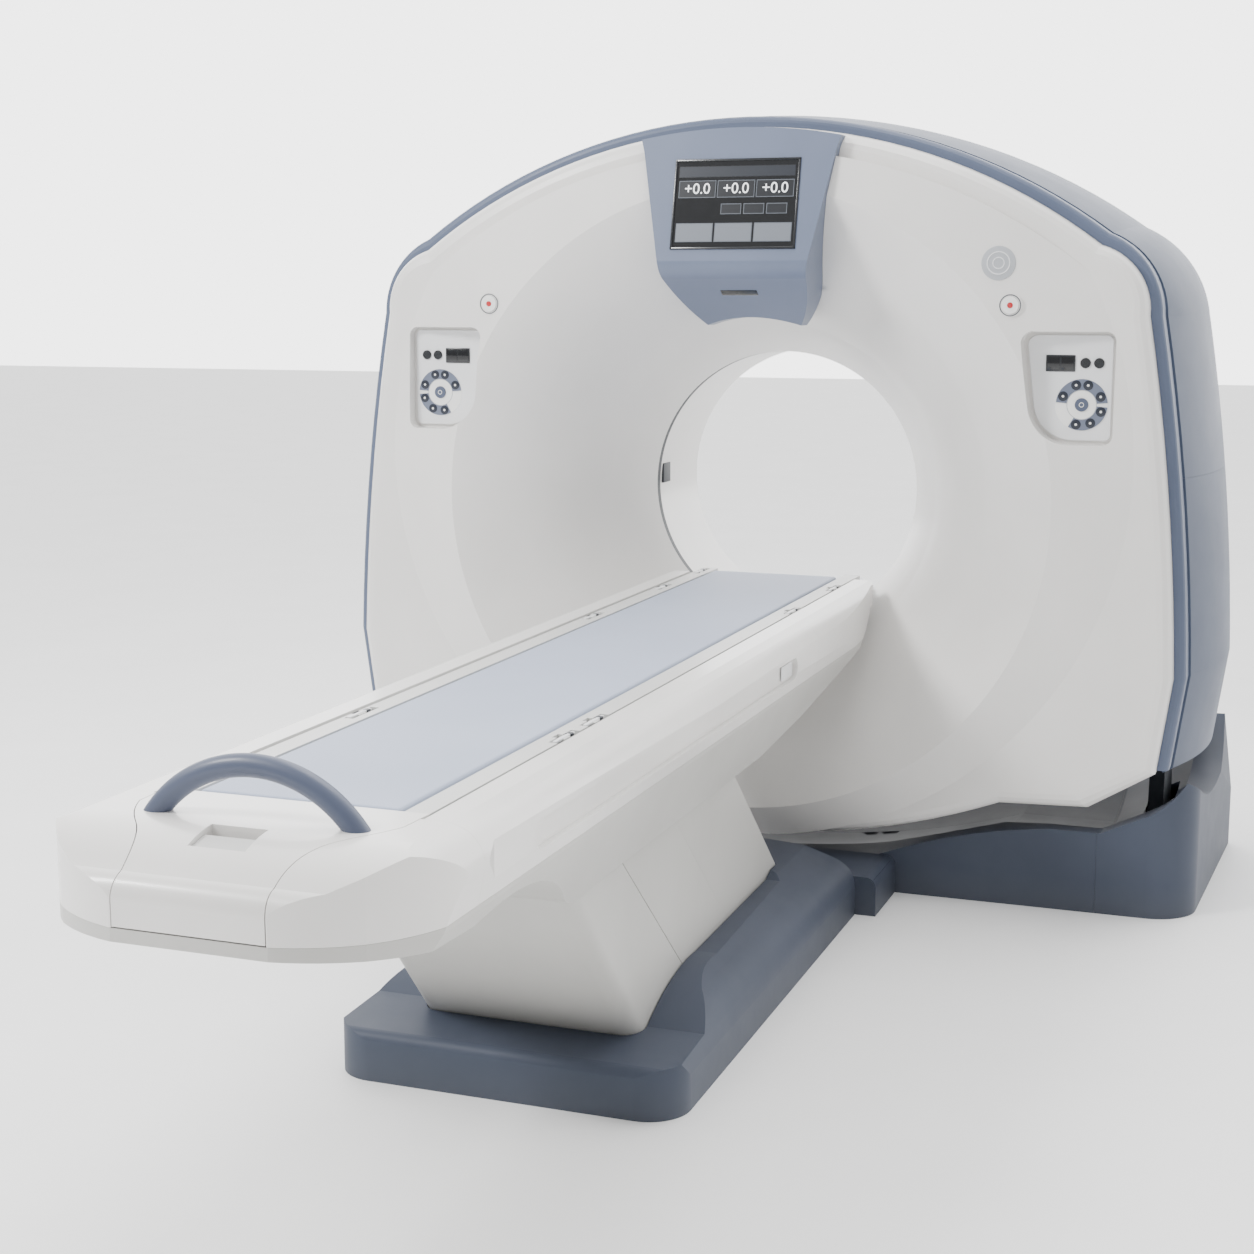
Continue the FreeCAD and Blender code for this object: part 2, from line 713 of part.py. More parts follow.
def column_block(grow, z0, z1):
    """Leaning column between its foot face and head face."""
    def at(face, z):
        return face[0] - face[1] * (z - 60.0)
    steps = [
        ((at(COL_HEAD, z0) + grow, z0),),
        ((at(COL_HEAD, z1) + grow, z1),),
        ((at(COL_FOOT, z1) - grow, z1),),
    ]
    half = COL_HALF + grow
    block = prism("yz", (at(COL_FOOT, z0) - grow, z0), steps, -half, half)
    middle = 0.5 * (at(COL_FOOT, z0) + at(COL_HEAD, z0))
    foot = edges_where(block, lambda b: b.ZLength > z1 - z0 - 1 and b.YMax < middle and b.XLength < 1)
    return block.makeFillet(38.0 + grow, foot)


def column_part(seam_low, seam_high):
    """Slab of space between two leaning panel joints."""
    def at(y, z):
        return y - COL_SEAM_LEAN * (z - 60.0)
    steps = [
        ((at(seam_high, 0), 0),),
        ((at(seam_high, 700), 700),),
        ((at(seam_low, 700), 700),),
    ]
    return prism("yz", (at(seam_low, 0), 0), steps, -400, 400)


def column_covers():
    """Leaning shroud fixed to the base, in a foot cover, two side panels and a head cover."""
    shell = column_block(0, PLATE_T, COL_TOP).cut(column_block(-COL_SKIN, PLATE_T - 5, COL_TOP + 5))
    low, high = COL_SEAMS
    foot = shell.common(column_part(-3500, low))
    middle = shell.common(column_part(low + 3, high))
    head = shell.common(column_part(high + SEAM, 1500))
    return foot, middle.common(box(-400, 0, -3000, 0, 0, 700)), middle.common(box(0, 400, -3000, 0, 0, 700)), head


def lift_deck():
    """Fixed guide box around the mast, with the deck that closes the shroud's top."""
    deck = column_block(-COL_SKIN - 0.3, PLATE_T, COL_TOP)
    deck = deck.common(box(-400, 400, -3000, 0, COL_TOP - DECK_T, COL_TOP))
    y0, y1 = MAST_Y
    tube = box(-MAST_HALF - 12, MAST_HALF + 12, y0 - 12, y1 + 12, PLATE_T, COL_TOP - DECK_T)
    tube = tube.common(column_block(-COL_SKIN - 0.3, PLATE_T, COL_TOP))
    mast = box(-MAST_HALF - RUN_GAP, MAST_HALF + RUN_GAP, y0 - RUN_GAP, y1 + RUN_GAP, 0, COL_TOP + 5)
    return joined([deck, tube]).cut(mast)


def lift_mast():
    """Hollow mast that rises with the couch."""
    y0, y1 = MAST_Y
    outer = box(-MAST_HALF, MAST_HALF, y0, y1, MAST_BASE, FLOOR_Z)
    inner = box(-MAST_HALF + 10, MAST_HALF - 10, y0 + 10, y1 - 10, MAST_BASE - 1, FLOOR_Z - 12)
    return outer.cut(inner)


def tub_block(inset):
    """Couch base body: low foot, raised sides and a hump at the gantry end."""
    f, h = TUB_FOOT + inset, TUB_HEAD
    d = inset
    profile = [
        ((h, 0),),
        ((h, 118 - d),),
        ((-745, 214 - d), (-905, 222 - d)),
        ((-1010, 186 - d),),
        ((-1560, 178 - d),),
        ((-1740, 164 - d), (-1880, 116 - d)),
        ((f + 20, 108 - d),),
        ((f + 5, 100 - d), (f, 84 - d)),
    ]
    block = prism("yz", (f, 0), profile, -TUB_HALF + inset, TUB_HALF - inset)
    r = 90.0 - inset
    k = r * (1 - math.sqrt(0.5))
    w = TUB_HALF - inset
    plan = prism(
        "xy",
        (-w + r, f),
        [
            ((w - r, f),),
            ((w - k, f + k), (w, f + r)),
            ((w, h),),
            ((-w, h),),
            ((-w, f + r),),
            ((-w + k, f + k), (-w + r, f)),
        ],
        -1,
        400,
    )
    shoulder = prism(
        "xz",
        (-w, 0),
        [
            ((w, 0),),
            ((w, 62 - d),),
            ((w - 12, 118 - d), (w - 60, 162 - d)),
            ((w - 118, 196 - d),),
            ((0, 226 - d), (-w + 118, 196 - d)),
            ((-w + 60, 162 - d),),
            ((-w + 12, 118 - d), (-w, 62 - d)),
        ],
        f,
        h,
    )
    return block.common(plan).common(shoulder)


def couch_base_cover():
    outer = tub_block(0)
    inner = tub_block(TUB_SKIN)
    inner.translate(V(0, 0, -0.5))
    return outer.cut(inner).cut(column_block(3.0, -20, 600))


def couch_base_frame():
    plate = tub_block(TUB_SKIN + 0.3).common(box(-500, 500, -2500, 0, 0, PLATE_T))
    for x in (-310, 310):
        for y in (-1900, -760):
            plate = plate.cut(Part.makeCylinder(ANCHOR_R, 40, V(x, y, -5)))
    return plate


def link_cover():
    """Low cover over the lines between couch base and gantry base."""
    y0, y1 = TUB_HEAD + SEAM, BASE_Y - SEAM
    outer = box(-LINK_HALF, LINK_HALF, y0, y1, 0, LINK_TOP)
    tops = edges_where(outer, lambda b: b.ZMin > LINK_TOP - 1 and b.YLength > 100)
    outer = outer.makeFillet(28.0, tops)
    inner = box(-LINK_HALF + 8, LINK_HALF - 8, y0 + 8, y1 - 8, -1, LINK_TOP - 8)
    return outer.cut(inner)


# ---------------- couch ----------------

def couch_hull(inset):
    """Couch body as the meeting of its plan, its side view and its cross-section."""
    d = inset
    w = COUCH_HALF - d
    f = COUCH_FOOT + d
    n = COUCH_NOSE - d
    plan_steps = [
        ((175, f + 12), (262, f + 62)),
        ((325 - d, f + 150), (w - 4, -2850)),
        ((w, -1700),),
        ((w - 4, -700),),
        ((w - 14, -430), (306 - d, n - 66)),
        ((292 - d, n - 16), (256 - d, n)),
        ((-256 + d, n),),
        ((-292 + d, n - 16), (-306 + d, n - 66)),
        ((-w + 14, -430), (-w + 4, -700)),
        ((-w, -1700),),
        ((-w + 4, -2850),),
        ((-325 + d, f + 150), (-262, f + 62)),
        ((-175, f + 12), (0, f)),
    ]
    plan = prism("xy", (0, f), plan_steps, 300, 1000)
    top = COUCH_TOP - d
    side_steps = [
        ((-2880, 649 + d),),
        ((-2560, 630 + d), (-2420, 560 + d)),
        ((-2370, KEEL_Z + 8 + d), (-2250, KEEL_Z + d)),
        ((-1140, KEEL_Z + 6 + d),),
        ((-831, 569 + d),),
        ((-517, 641 + d),),
        ((-300, 706 + d),),
        ((n, 776 + d),),
        ((n, top - 12),),
        ((n - 12, top),),
        ((-3020, top),),
        ((-3100, top - 14.5), (f + 30, 770 - d)),
        ((f + 6, 753 - d), (f, 728)),
    ]
    side = prism("yz", (f, 668 + d), side_steps, -400, 400)
    section_steps = [
        ((262 - d, KEEL_Z - 10),),
        ((300 - d, 600), (334 - d, 680)),
        ((w, 740),),
        ((w - 6, 786), (w - 34, top - 8)),
        ((w - 62, top + 2),),
        ((-w + 62, top + 2),),
        ((-w + 34, top - 8),),
        ((-w + 6, 786), (-w, 740)),
        ((-334 + d, 680),),
        ((-300 + d, 600), (-262 + d, KEEL_Z - 10)),
    ]
    section = prism("xz", (-262 + d, KEEL_Z - 10), section_steps, -3300, 100)
    return plan.common(side).common(section)


def side_groove():
    """Long shallow recess along the side of the couch."""
    steps = [
        ((-1110, 716),),
        ((-1088, 742), (-1110, 768)),
        ((-2660, 768),),
        ((-2684, 742), (-2660, 716)),
    ]
    return prism("yz", (-2660, 716), steps, COUCH_HALF - GROOVE_DEPTH, COUCH_HALF + 20)


def panel_zone(grow, z0):
    """Space over the plan of the moving foot panel, which narrows from the handle to the foot."""
    w = CHANNEL - 10 + grow
    steps = [
        ((w + 4, TOP_FOOT),),
        ((w, -2950),),
        ((205 + grow, -3010), (168 + grow, -3060)),
        ((140 + grow, -3110), (134 + grow, COUCH_FOOT - 20)),
        ((-134 - grow, COUCH_FOOT - 20),),
        ((-140 - grow, -3110), (-168 - grow, -3060)),
        ((-205 - grow, -3010), (-w, -2950)),
        ((-w - 4, TOP_FOOT),),
    ]
    return prism("xy", (0, TOP_FOOT), steps, z0, 900)


def couch_shells():
    hull = couch_hull(0)
    shell = hull.cut(couch_hull(COUCH_SKIN))
    upper = shell.common(box(-400, 400, -3300, 100, COUCH_SEAM_Z, 900))
    channel = box(-CHANNEL, CHANNEL, FOOT_SEAM_Y - 5, 100, COUCH_SEAM_Z - 5, 900)
    lower = shell.common(box(-400, 400, -3300, 100, 300, COUCH_SEAM_Z - SEAM))
    y_well = (-2335, -1185)
    lower = lower.cut(box(-COL_HALF - 8, COL_HALF + 8, y_well[0], y_well[1], 300, 640))
    foot = upper.common(box(-400, 400, -3300, FOOT_SEAM_Y, 300, 900))
    foot = foot.cut(panel_zone(PANEL_SEAM, COUCH_SEAM_Z - 5))
    sides = upper.common(box(0, 400, FOOT_SEAM_Y + SEAM, HEAD_SEAM_Y, 300, 900)).cut(channel)
    groove = side_groove()
    back = groove.copy()
    back.translate(V(-COUCH_SKIN, 0, 0))
    # the recess has walls of its own above and below
    walls = box(COUCH_HALF - GROOVE_DEPTH - COUCH_SKIN, 400, -2690, -1082, 710, 774)
    sides = sides.fuse(back.fuse(walls).common(hull)).cut(groove)
    slot = box(-CHANNEL, CHANNEL, HEAD_SEAM_Y - 1, 100, TOP_BASE - 4, 900)
    head = upper.common(box(-400, 400, HEAD_SEAM_Y + SEAM, 100, 300, 900)).cut(slot)
    return foot, mirrored(sides), sides, head, lower


def couch_frame():
    """Aluminium channel: floor, two webs with top flanges, and runner strips for the slab."""
    floor = box(-258, 258, -2890, -560, FLOOR_Z, FLOOR_Z + FLOOR_T)
    parts = [floor]
    for side in (-1, 1):
        def span(a, b):
            return sorted((side * a, side * b))
        x0, x1 = span(CHANNEL + 3, CHANNEL + 13)
        parts.append(box(x0, x1, -2890, -560, FLOOR_Z + FLOOR_T, COUCH_TOP - COUCH_SKIN))
        x0, x1 = span(198, 240)
        parts.append(box(x0, x1, -2840, -560, FLOOR_Z + FLOOR_T, TOP_BASE - RUN_GAP))
    return joined(parts)


def tabletop():
    """Carbon slab with a shallow cradle, thinner towards its edges."""
    z0, z1 = TOP_BASE, TOP_BASE + TOP_T
    steps = [
        ((TOP_HALF, z0),),
        ((TOP_HALF, z1),),
        ((-TOP_HALF, z1),),
        ((-TOP_HALF, z0),),
    ]
    slab = prism("xz", (-TOP_HALF, z0), steps[:3], TOP_FOOT + SEAM, TOP_HEAD)
    r = 60.0
    corners = edges_where(slab, lambda b: b.ZLength > TOP_T - 1 and b.YMin > TOP_HEAD - 1)
    return slab.makeFillet(r, corners)


def mattress():
    z0 = TOP_BASE + TOP_T + RUN_GAP
    pad = box(-PAD_HALF, PAD_HALF, TOP_FOOT + 6, PAD_HEAD, z0, z0 + PAD_T)
    return pad.makeFillet(7.0, edges_where(pad, lambda b: b.ZMin > z0 + PAD_T - 1))


def accessory_rail(side):
    """Rail beside the mattress with T-shaped clip openings."""
    x0, x1 = sorted((side * RAIL_IN, side * TOP_HALF))
    z0 = TOP_BASE + TOP_T
    rail = box(x0, x1, TOP_FOOT + SEAM, -40, z0, z0 + RAIL_H)
    for y in ((-2276, -2124, -726, -306) if side > 0 else (-2219, -977, -446, -110)):
        middle = side * 224
        rail = rail.cut(box(middle - 6, middle + 13, y - 55, y + 55, z0 + 6, z0 + 30))
        rail = rail.cut(box(middle - 16, middle + 13, y - 14, y + 14, z0 + 6, z0 + 30))
    return rail


def latch_block(grow, top):
    """Space of the release paddle's recess."""
    y0, y1 = LATCH_Y
    return box(-LATCH_HALF - grow, LATCH_HALF + grow, y0 - grow, y1 + grow, LATCH_Z - grow, top)


LATCH_Z = COUCH_TOP - 12 - LATCH_DEPTH


def foot_panel():
    """Moving end of the couch: deck under the handle, curved front, and the paddle's recess."""
    hull = couch_hull(0)
    zone = panel_zone(0, COUCH_SEAM_Z + PANEL_SEAM)
    shell = hull.cut(couch_hull(COUCH_SKIN)).common(zone)
    cup = latch_block(4.0, 900).common(hull)
    shell = shell.fuse(cup).cut(latch_block(0, 900))
    pin = rod_x(HINGE_R + PIN_GAP, -LATCH_HALF - 6, LATCH_HALF + 6, LATCH_Y[0] + 10, LATCH_Z + 9)
    # the slab's end is bolted to this block under the deck
    block = box(-190, 190, -2960, TOP_FOOT, TOP_BASE, TOP_BASE + TOP_T)
    block = block.fuse(box(-190, 190, -2960, TOP_FOOT, TOP_BASE + TOP_T, COUCH_TOP - COUCH_SKIN))
    return shell.fuse(block).cut(pin).removeSplitter()


def release_paddle():
    """Sloping paddle on a pin at the foot side of its recess."""
    y0, y1 = LATCH_Y
    z0 = LATCH_Z
    gap = 1.0
    steps = [
        ((y1 - 16, z0 + 12),),
        ((y1 - 18, z0 + 22), (y1 - 24, z0 + 27)),
        ((y0 + 12, z0 + 19),),
        ((y0 + gap + 1, z0 + 15),),
        ((y0 + gap, z0 + 8),),
    ]
    half = LATCH_HALF - gap
    paddle = prism("yz", (y0 + gap + 4, z0 + 1.5), steps, -half, half)
    pin = rod_x(HINGE_R, -LATCH_HALF - 3, LATCH_HALF + 3, y0 + 10, z0 + 9)
    return paddle.fuse(pin).removeSplitter()


def pull_handle():
    """Arched handle standing on the deck."""
    z0 = COUCH_TOP
    radius = (HANDLE_HALF ** 2 + HANDLE_RISE ** 2) / (2 * HANDLE_RISE)
    centre = V(0, HANDLE_Y, z0 + HANDLE_RISE - radius)
    arch = Part.makeTorus(radius, HANDLE_TUBE, centre, V(0, 1, 0))
    return arch.common(box(-400, 400, HANDLE_Y - 50, HANDLE_Y + 50, z0, z0 + 200))


SHAPES = {}


def build():
    SHAPES["gantry_front_cover"] = front_cover()
    SHAPES["bore_ring"] = bore_ring()
    SHAPES["xray_window"] = window_ring()
    SHAPES["tunnel_liner"] = tunnel_liner()
    SHAPES["gantry_rear_cover"] = rear_cover()
    SHAPES["front_trim"] = front_trim()
    top, left, right = body_covers()
    SHAPES["gantry_top_cover"] = top
    SHAPES["gantry_left_cover"] = left
    SHAPES["gantry_right_cover"] = right
    screen = screen_frame(0, 12.0)
    SHAPES["display_pod"] = display_pod(0).cut(screen)
    SHAPES["display_screen"] = screen
    SHAPES["stator_frame"] = stator_frame()
    SHAPES["main_bearing"] = main_bearing()
    SHAPES["tilt_pins"] = Part.makeCompound([tilt_pin(-1), tilt_pin(1)])
    SHAPES["tilt_stand_left"] = tilt_stand(-1)
    SHAPES["tilt_stand_right"] = tilt_stand(1)
    SHAPES["rotor_drum"] = rotor_drum()
    SHAPES["xray_tube"] = xray_tube()
    SHAPES["collimator"] = collimator()
    SHAPES["detector_array"] = detector()
    SHAPES["generator"] = generator_box()
    SHAPES["counterweight"] = counterweight()
    SHAPES["slip_ring"] = slip_ring()
    SHAPES["gantry_base_frame"] = base_frame()
    front, rear, left, right = base_covers()
    SHAPES["gantry_base_front_cover"] = front
    SHAPES["gantry_base_rear_cover"] = rear
    SHAPES["gantry_base_left_cover"] = left
    SHAPES["gantry_base_right_cover"] = right
    foot, left, right, head = column_covers()
    SHAPES["column_foot_cover"] = foot
    SHAPES["column_left_panel"] = left
    SHAPES["column_right_panel"] = right
    SHAPES["column_head_cover"] = head
    SHAPES["lift_guide"] = lift_deck()
    SHAPES["lift_mast"] = lift_mast()
    SHAPES["couch_base_cover"] = couch_base_cover()
    SHAPES["couch_base_frame"] = couch_base_frame()
    SHAPES["base_link_cover"] = link_cover()
    foot, left, right, head, lower = couch_shells()
    SHAPES["couch_foot_cover"] = foot
    SHAPES["couch_left_cover"] = left
    SHAPES["couch_right_cover"] = right
    SHAPES["couch_head_cover"] = head
    SHAPES["couch_underbody"] = lower
    SHAPES["couch_frame"] = couch_frame()
    SHAPES["tabletop"] = tabletop()
    SHAPES["mattress"] = mattress()
    SHAPES["rail_left"] = accessory_rail(-1)
    SHAPES["rail_right"] = accessory_rail(1)
    SHAPES["foot_panel"] = foot_panel()
    SHAPES["pull_handle"] = pull_handle()
    SHAPES["release_paddle"] = release_paddle()
    SHAPES["start_button_left"] = start_button(-1)
    SHAPES["start_button_right"] = start_button(1)
    SHAPES["control_panel_left"] = control_panel()
    SHAPES["control_panel_right"] = mirrored(control_panel())
    for name, key in zip(("key_outer", "key_inner", "key_centre"), panel_keys()):
        SHAPES[name + "_left"] = key
        SHAPES[name + "_right"] = mirrored(key)


build()
os.makedirs("parts", exist_ok=True)
for name, shape in SHAPES.items():
    shape.exportStep("parts/" + name + ".step")
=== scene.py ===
import math

import bpy
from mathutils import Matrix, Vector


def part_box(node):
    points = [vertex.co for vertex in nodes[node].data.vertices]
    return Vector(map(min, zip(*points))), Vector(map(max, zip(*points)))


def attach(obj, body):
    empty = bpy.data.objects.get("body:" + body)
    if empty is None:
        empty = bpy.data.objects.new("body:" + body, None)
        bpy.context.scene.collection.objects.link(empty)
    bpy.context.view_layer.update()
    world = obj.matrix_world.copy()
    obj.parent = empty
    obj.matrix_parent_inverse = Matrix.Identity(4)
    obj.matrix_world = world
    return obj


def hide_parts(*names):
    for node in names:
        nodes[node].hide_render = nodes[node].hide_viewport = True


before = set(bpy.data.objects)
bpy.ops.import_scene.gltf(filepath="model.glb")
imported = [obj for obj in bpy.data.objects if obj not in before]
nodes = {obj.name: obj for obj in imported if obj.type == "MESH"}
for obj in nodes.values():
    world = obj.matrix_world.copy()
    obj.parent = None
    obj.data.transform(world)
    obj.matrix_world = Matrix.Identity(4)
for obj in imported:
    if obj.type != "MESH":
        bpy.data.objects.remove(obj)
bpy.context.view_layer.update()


# ---------------- gantry: white covers ----------------

# The front cover with its flare, the bore ring, the tunnel and the rear cover are moulded ABS
# shells. Their gloss is broken by a fine orange peel, and their tone drifts faintly.

def colour(code):
    """Linear RGBA from an sRGB hex code."""
    parts = [int(code[i:i + 2], 16) / 255 for i in (0, 2, 4)]
    parts = [c / 12.92 if c <= 0.04045 else ((c + 0.055) / 1.055) ** 2.4 for c in parts]
    return (*parts, 1.0)


def node(owner, kind, links=None, **settings):
    """Adds a shader node, sets its properties and inputs, and links its inputs."""
    made = owner.node_tree.nodes.new(kind)
    for name, value in settings.items():
        if hasattr(made, name):
            setattr(made, name, value)
        else:
            made.inputs[name.replace("_", " ")].default_value = value
    for name, source in (links or {}).items():
        owner.node_tree.links.new(source, made.inputs[name])
    return made


def new_material(name):
    material = bpy.data.materials.new(name)
    material.use_nodes = True
    material.node_tree.nodes.clear()
    return material


def finish_material(material, shader):
    out = node(material, "ShaderNodeOutputMaterial")
    material.node_tree.links.new(shader.outputs[0], out.inputs["Surface"])
    return material


def spread(owner, source, low, high):
    """Maps source from 0..1 to low..high."""
    made = node(owner, "ShaderNodeMapRange", {"Value": source})
    made.inputs["To Min"].default_value = low
    made.inputs["To Max"].default_value = high
    return made.outputs[0]


def two_tone(material, source, low, high):
    """Blends between two hex colours over the middle of source's range."""
    made = node(material, "ShaderNodeValToRGB", {"Fac": source})
    made.color_ramp.elements[0].position = 0.35
    made.color_ramp.elements[0].color = colour(low)
    made.color_ramp.elements[1].position = 0.65
    made.color_ramp.elements[1].color = colour(high)
    return made.outputs["Color"]


FLOOR_DUST_TOP = 0.09       # metres above the floor where the dust fades out
FINE_GRAIN = 2500.0         # texture scale of small smooth mouldings
PEEL_DEPTH = 0.00002


def moulded(name, low, high, rough=0.32, coat=0.35, grain=900.0, dust=None, shine=0.5):
    """Moulded or painted shell: faint cloudy tone, orange peel and, if asked, dust near the floor."""
    m = new_material(name)
    where = node(m, "ShaderNodeTexCoord").outputs["Object"]
    cloud = node(m, "ShaderNodeTexNoise", {"Vector": where}, Scale=2.2, Detail=4.0, Roughness=0.55)
    tone = two_tone(m, cloud.outputs["Fac"], low, high)
    peel = node(m, "ShaderNodeTexNoise", {"Vector": where}, Scale=grain, Detail=2.0, Roughness=0.5)
    bump = node(m, "ShaderNodeBump", {"Height": peel.outputs["Fac"]}, Strength=0.35, Distance=PEEL_DEPTH)
    wear = node(m, "ShaderNodeTexNoise", {"Vector": where}, Scale=11.0, Detail=5.0, Roughness=0.6)
    if dust:
        height = node(m, "ShaderNodeSeparateXYZ", {"Vector": where}).outputs["Z"]
        band = node(m, "ShaderNodeMapRange", {"Value": height})
        band.inputs["From Min"].default_value = 0.0
        band.inputs["From Max"].default_value = FLOOR_DUST_TOP
        band.inputs["To Min"].default_value = 0.35
        band.inputs["To Max"].default_value = 0.0
        tone = node(m, "ShaderNodeMixRGB", {"Fac": band.outputs[0], "Color1": tone},
                    Color2=colour(dust)).outputs["Color"]
    shader = node(m, "ShaderNodeBsdfPrincipled", {
        "Base Color": tone,
        "Roughness": spread(m, wear.outputs["Fac"], rough - 0.05, rough + 0.07),
        "Normal": bump.outputs["Normal"],
    })
    shader.inputs["Coat Weight"].default_value = coat
    shader.inputs["Coat Roughness"].default_value = 0.12
    shader.inputs["Specular IOR Level"].default_value = shine
    return finish_material(m, shader)


def dress(material, *names):
    """Gives CAD nodes a material."""
    for name in names:
        slots = nodes[name].material_slots
        if slots:
            slots[0].material = material
        else:
            nodes[name].data.materials.append(material)


white_shell = moulded("gloss white moulded ABS", "E3E1DE", "EAE8E5", rough=0.30, coat=0.45)
dress(white_shell, "gantry_front_cover", "bore_ring", "tunnel_liner", "gantry_rear_cover")

# The X-ray window is a band of matt dark film let into the tunnel wall, where the beam passes.
window_film = moulded("matt dark window film", "24272D", "2C3037", rough=0.5, coat=0.0)
dress(window_film, "xray_window")


# ---------------- gantry: slate covers ----------------

# The side and top covers are satin painted, grey-blue. The trim band that frames the front
# cover and the display pod's moulding are a little lighter and glossier.
side_paint = moulded("satin grey-blue paint", "465064", "4D576B", rough=0.48, coat=0.05, shine=0.35)
dress(side_paint, "gantry_top_cover", "gantry_left_cover", "gantry_right_cover")
trim_paint = moulded("satin slate trim paint", "525C72", "596379", rough=0.45, coat=0.08, shine=0.4)
dress(trim_paint, "front_trim")
pod_shell = moulded("satin slate moulded pod", "626C82", "697389", rough=0.40, coat=0.12, shine=0.4)
dress(pod_shell, "display_pod")


# ---------------- bases and column ----------------

# The covers round both bases are dark slate ABS, satin from a textured mould, with a little
# dust near the floor. The column's shroud is folded sheet in matt white paint. Its colour, also used
# for the couch's underbody, is a mid grey far darker than the white covers: painted shade for where
# both stand in the shadow under the couch.
base_shell = moulded("dark slate moulded ABS", "404653", "464C5A", rough=0.50, coat=0.0,
                     dust="585B60", shine=0.22)
dress(base_shell, "gantry_base_front_cover", "gantry_base_rear_cover", "gantry_base_left_cover",
      "gantry_base_right_cover", "couch_base_cover", "base_link_cover")
# Grey instead of white here is painted shade for the space under the couch.
shaded_white_paint = moulded("satin white painted sheet with painted shade", "B9B8B4", "C1C0BC", rough=0.42, coat=0.1)
dress(shaded_white_paint, "column_foot_cover", "column_left_panel", "column_right_panel",
      "column_head_cover", "couch_underbody")


# ---------------- structure inside the covers ----------------

# Cast and welded iron frames, ground steel bearing and mast, extruded aluminium couch frame and
# drum, brass slip ring, and hammer-painted housings on the drum.

def metal(name, tint, rough, brush=(400.0, 8.0, 400.0)):
    """Machined or cast metal with a directional grain."""
    m = new_material(name)
    where = node(m, "ShaderNodeTexCoord").outputs["Object"]
    along = node(m, "ShaderNodeMapping", {"Vector": where})
    along.inputs["Scale"].default_value = brush
    grain = node(m, "ShaderNodeTexNoise", {"Vector": along.outputs[0]}, Scale=1.0, Detail=6.0)
    bump = node(m, "ShaderNodeBump", {"Height": grain.outputs["Fac"]}, Strength=0.2, Distance=0.00005)
    gloss = spread(m, grain.outputs["Fac"], rough - 0.08, rough + 0.12)
    shader = node(m, "ShaderNodeBsdfPrincipled", {"Roughness": gloss, "Normal": bump.outputs[0]},
                  Base_Color=colour(tint), Metallic=1.0)
    return finish_material(m, shader)


cast_iron = metal("painted cast iron", "3E4248", 0.6, (60.0, 60.0, 60.0))
dress(cast_iron, "stator_frame", "tilt_stand_left", "tilt_stand_right", "gantry_base_frame",
      "couch_base_frame", "counterweight")
steel = metal("ground steel", "A9AEB5", 0.32)
dress(steel, "main_bearing", "tilt_pins", "lift_guide", "lift_mast")
aluminium = metal("extruded aluminium", "B9BDC2", 0.36)
dress(aluminium, "couch_frame", "rotor_drum", "detector_array")
brass = metal("slip ring brass", "C2A15A", 0.28)
dress(brass, "slip_ring")
tube_paint = moulded("cream hammered housing paint", "C9C4B4", "D2CDBD", rough=0.45, coat=0.1, grain=300.0)
dress(tube_paint, "xray_tube")
box_paint = moulded("charcoal housing paint", "42474F", "4A4F58", rough=0.45, coat=0.1, grain=300.0)
dress(box_paint, "generator", "collimator")


# ---------------- couch: covers, slab and handle ----------------

# The couch's covers are the same white ABS as the gantry's. The slab is a painted carbon
# sandwich, the rails and the paddle are white plastic, and the handle is textured nylon.
dress(white_shell, "couch_foot_cover", "couch_left_cover", "couch_right_cover", "couch_head_cover",
      "foot_panel")
slab_paint = moulded("satin carbon sandwich slab", "BFC2C8", "C7CAD0", rough=0.38, coat=0.2)
dress(slab_paint, "tabletop")
rail_plastic = moulded("satin white rail plastic", "C8C8C6", "D0D0CE", rough=0.40, coat=0.15)
dress(rail_plastic, "rail_left", "rail_right", "release_paddle")
slate_nylon = moulded("textured slate nylon", "485065", "4F576C", rough=0.46, coat=0.1, grain=1600.0)
dress(slate_nylon, "pull_handle")


# ---------------- couch: mattress ----------------

# The pad is a long thin foam mat in coated cloth, with rounded edges and a faintly uneven top.
# It lies loose on the slab between the rails.
BASKET_SCALE = 210.0        # threads 1.5 mm apart, coarser than the real weave so that they show
WEAVE_DEPTH = 0.0004
PAD_MARGIN = (0.002, 0.002, 0.004)
PAD_EDGE = 0.007


def coated_cloth(name, low, high):
    """Wipe-clean coated cloth: fine basket weave under a soft sheen, with faint pressed creases."""
    m = new_material(name)
    where = node(m, "ShaderNodeTexCoord").outputs["Object"]
    cloud = node(m, "ShaderNodeTexNoise", {"Vector": where}, Scale=1.6, Detail=4.0)
    warp = node(m, "ShaderNodeTexWave", {"Vector": where}, Scale=BASKET_SCALE, Distortion=0.4,
                bands_direction="X")
    weft = node(m, "ShaderNodeTexWave", {"Vector": where}, Scale=BASKET_SCALE, Distortion=0.4,
                bands_direction="Y")
    weave = node(m, "ShaderNodeMath", {0: warp.outputs["Fac"], 1: weft.outputs["Fac"]},
                 operation="MULTIPLY")
    crease = node(m, "ShaderNodeTexNoise", {"Vector": where}, Scale=14.0, Detail=3.0)
    both = node(m, "ShaderNodeMath", {0: crease.outputs["Fac"], 1: weave.outputs[0]}, operation="ADD")
    bump = node(m, "ShaderNodeBump", {"Height": both.outputs[0]}, Strength=0.25, Distance=WEAVE_DEPTH)
    shader = node(m, "ShaderNodeBsdfPrincipled", {
        "Base Color": two_tone(m, cloud.outputs["Fac"], low, high),
        "Normal": bump.outputs[0],
    }, Roughness=0.55)
    shader.inputs["Sheen Weight"].default_value = 0.25
    return finish_material(m, shader)


def modified(kind, **settings):
    """Adds a modifier to the active piece and applies it."""
    piece = bpy.context.active_object
    modifier = piece.modifiers.new(kind.lower(), kind)
    for key, value in settings.items():
        setattr(modifier, key, value)
    bpy.ops.object.modifier_apply(modifier=modifier.name)


